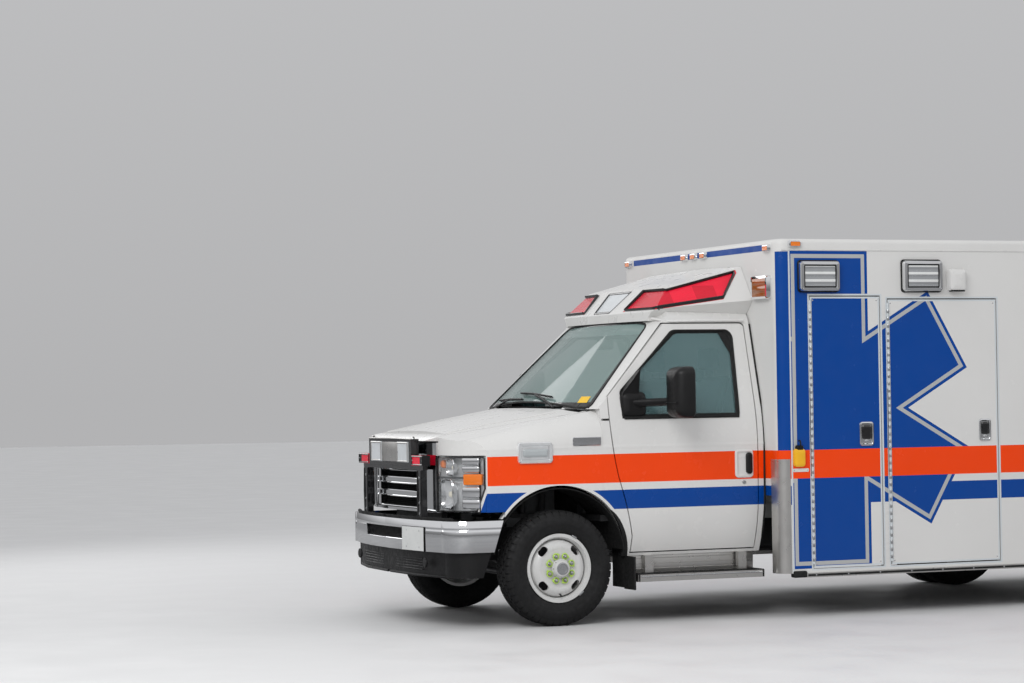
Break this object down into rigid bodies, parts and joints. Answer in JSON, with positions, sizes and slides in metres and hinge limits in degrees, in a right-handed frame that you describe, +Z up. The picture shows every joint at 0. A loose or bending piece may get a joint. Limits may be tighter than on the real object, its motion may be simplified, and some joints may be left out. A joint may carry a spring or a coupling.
{
  "type": "box-body ambulance",
  "caption": "Box-body ambulance on a cutaway van chassis with opening doors, lockers and hood, steered front wheels and twin rear wheels.",
  "frame": {"origin": "on the ground, under the middle of the vehicle's whole length and width", "axes": "+Z up, -Y towards the front bumper, +X towards the vehicle's left (driver's) side"},
  "size_m": [2.72, 6.7522, 2.49],
  "materials": {
    "body_white": "gloss",
    "module_white": "gloss",
    "fairing_white": "gloss",
    "frame_black": "satin",
    "engine_grey": "rough",
    "axle_black": "satin",
    "spring_steel": "satin",
    "tank_plastic": "matte",
    "window_glass": "clear",
    "trim_black": "matte",
    "chrome_trim": "polished",
    "lamp_clear": "clear",
    "lamp_red": "gloss",
    "lamp_amber": "gloss",
    "guard_black": "satin",
    "step_aluminium": "polished",
    "cab_trim": "matte",
    "seat_fabric": "woven",
    "locker_aluminium": "brushed",
    "flap_rubber": "matte",
    "tyre": "matte",
    "wheel_white": "satin"
  },
  "bodies": {
    "root": {"chassis_frame": "frame_black", "engine_block": "engine_grey", "front_axle": "axle_black", "rear_axle": "axle_black", "springs": "spring_steel", "fuel_tank": "tank_plastic", "cab_floor": "body_white", "cab_sides": "body_white", "cab_roof": "body_white", "windscreen": "window_glass", "cowl": "trim_black", "fenders": "body_white", "grille": "chrome_trim", "headlamps": "lamp_clear", "front_bumper": "chrome_trim", "air_dam": "trim_black", "grille_guard": "guard_black", "warning_lamps": "lamp_red", "running_boards": "step_aluminium", "dashboard": "cab_trim", "cab_seats": "seat_fabric", "steering_wheel": "cab_trim", "roof_fairing": "fairing_white", "module_floor": "module_white", "module_side_left": "module_white", "module_side_right": "module_white", "module_roof": "module_white", "module_ends": "module_white", "lockers": "locker_aluminium", "body_guards": "step_aluminium", "scene_lamps": "lamp_clear", "marker_lamps": "lamp_amber", "mud_flaps": "flap_rubber"},
    "hood": {"hood": "body_white"},
    "cab_door_left": {"cab_door_left": "body_white", "cab_door_glass_left": "window_glass", "mirror_left": "trim_black"},
    "cab_door_right": {"cab_door_right": "body_white", "cab_door_glass_right": "window_glass", "mirror_right": "trim_black"},
    "locker_door_front_left": {"locker_door_front_left": "module_white"},
    "locker_door_middle_left": {"locker_door_middle_left": "module_white"},
    "locker_door_rear_left": {"locker_door_rear_left": "module_white"},
    "entry_door": {"entry_door": "module_white", "entry_door_glass": "window_glass"},
    "rear_door_left": {"rear_door_left": "module_white", "rear_door_glass_left": "window_glass"},
    "rear_door_right": {"rear_door_right": "module_white", "rear_door_glass_right": "window_glass"},
    "knuckle_left": {"knuckle_left": "axle_black"},
    "knuckle_right": {"knuckle_right": "axle_black"},
    "wheel_front_left": {"tyre_front_left": "tyre", "rim_front_left": "wheel_white"},
    "wheel_front_right": {"tyre_front_right": "tyre", "rim_front_right": "wheel_white"},
    "wheels_rear_left": {"tyres_rear_left": "tyre", "rims_rear_left": "wheel_white"},
    "wheels_rear_right": {"tyres_rear_right": "tyre", "rims_rear_right": "wheel_white"}
  },
  "joints": [
    {"name": "steer_left", "type": "hinge", "parent": "root", "child": "knuckle_left", "pos_m": [0.7535, -2.5375, 0.33], "axis": [0, 0, 1], "range_deg": [-35, 35]},
    {"name": "steer_right", "type": "hinge", "parent": "root", "child": "knuckle_right", "pos_m": [-0.7535, -2.5375, 0.33], "axis": [0, 0, 1], "range_deg": [-35, 35]},
    {"name": "spin_front_left", "type": "hinge", "parent": "knuckle_left", "child": "wheel_front_left", "pos_m": [0.8815, -2.5375, 0.372], "axis": [-1, 0, 0], "continuous": true},
    {"name": "spin_front_right", "type": "hinge", "parent": "knuckle_right", "child": "wheel_front_right", "pos_m": [-0.8815, -2.5375, 0.372], "axis": [-1, 0, 0], "continuous": true},
    {"name": "spin_rear_left", "type": "hinge", "parent": "root", "child": "wheels_rear_left", "pos_m": [0.94, 1.4755, 0.372], "axis": [-1, 0, 0], "continuous": true},
    {"name": "spin_rear_right", "type": "hinge", "parent": "root", "child": "wheels_rear_right", "pos_m": [-0.94, 1.4755, 0.372], "axis": [-1, 0, 0], "continuous": true},
    {"name": "cab_door_left_swing", "type": "hinge", "parent": "root", "child": "cab_door_left", "pos_m": [0.96, -2.2205, 1.2], "axis": [0, 0, -1], "range_deg": [0, 65]},
    {"name": "cab_door_right_swing", "type": "hinge", "parent": "root", "child": "cab_door_right", "pos_m": [-0.96, -2.2205, 1.2], "axis": [0, 0, 1], "range_deg": [0, 65]},
    {"name": "hood_lift", "type": "hinge", "parent": "root", "child": "hood", "pos_m": [0, -2.2575, 1.358], "axis": [-1, 0, 0], "range_deg": [0, 50]},
    {"name": "locker_front_swing", "type": "hinge", "parent": "root", "child": "locker_door_front_left", "pos_m": [1.223, -0.8225, 1.2], "axis": [0, 0, -1], "range_deg": [0, 95]},
    {"name": "locker_middle_swing", "type": "hinge", "parent": "root", "child": "locker_door_middle_left", "pos_m": [1.223, -0.2355, 1.2], "axis": [0, 0, -1], "range_deg": [0, 95]},
    {"name": "locker_rear_swing", "type": "hinge", "parent": "root", "child": "locker_door_rear_left", "pos_m": [1.223, 2.0265, 1.2], "axis": [0, 0, -1], "range_deg": [0, 95]},
    {"name": "entry_door_swing", "type": "hinge", "parent": "root", "child": "entry_door", "pos_m": [-1.223, -0.2355, 1.2], "axis": [0, 0, 1], "range_deg": [0, 95]},
    {"name": "rear_door_left_swing", "type": "hinge", "parent": "root", "child": "rear_door_left", "pos_m": [0.616, 3.1665, 1.5], "axis": [0, 0, -1], "range_deg": [0, 100]},
    {"name": "rear_door_right_swing", "type": "hinge", "parent": "root", "child": "rear_door_right", "pos_m": [-0.616, 3.1665, 1.5], "axis": [0, 0, 1], "range_deg": [0, 100]}
  ],
  "couplings": [
    {"joint": "steer_right", "follows": "steer_left", "ratio": 1}
  ]
}
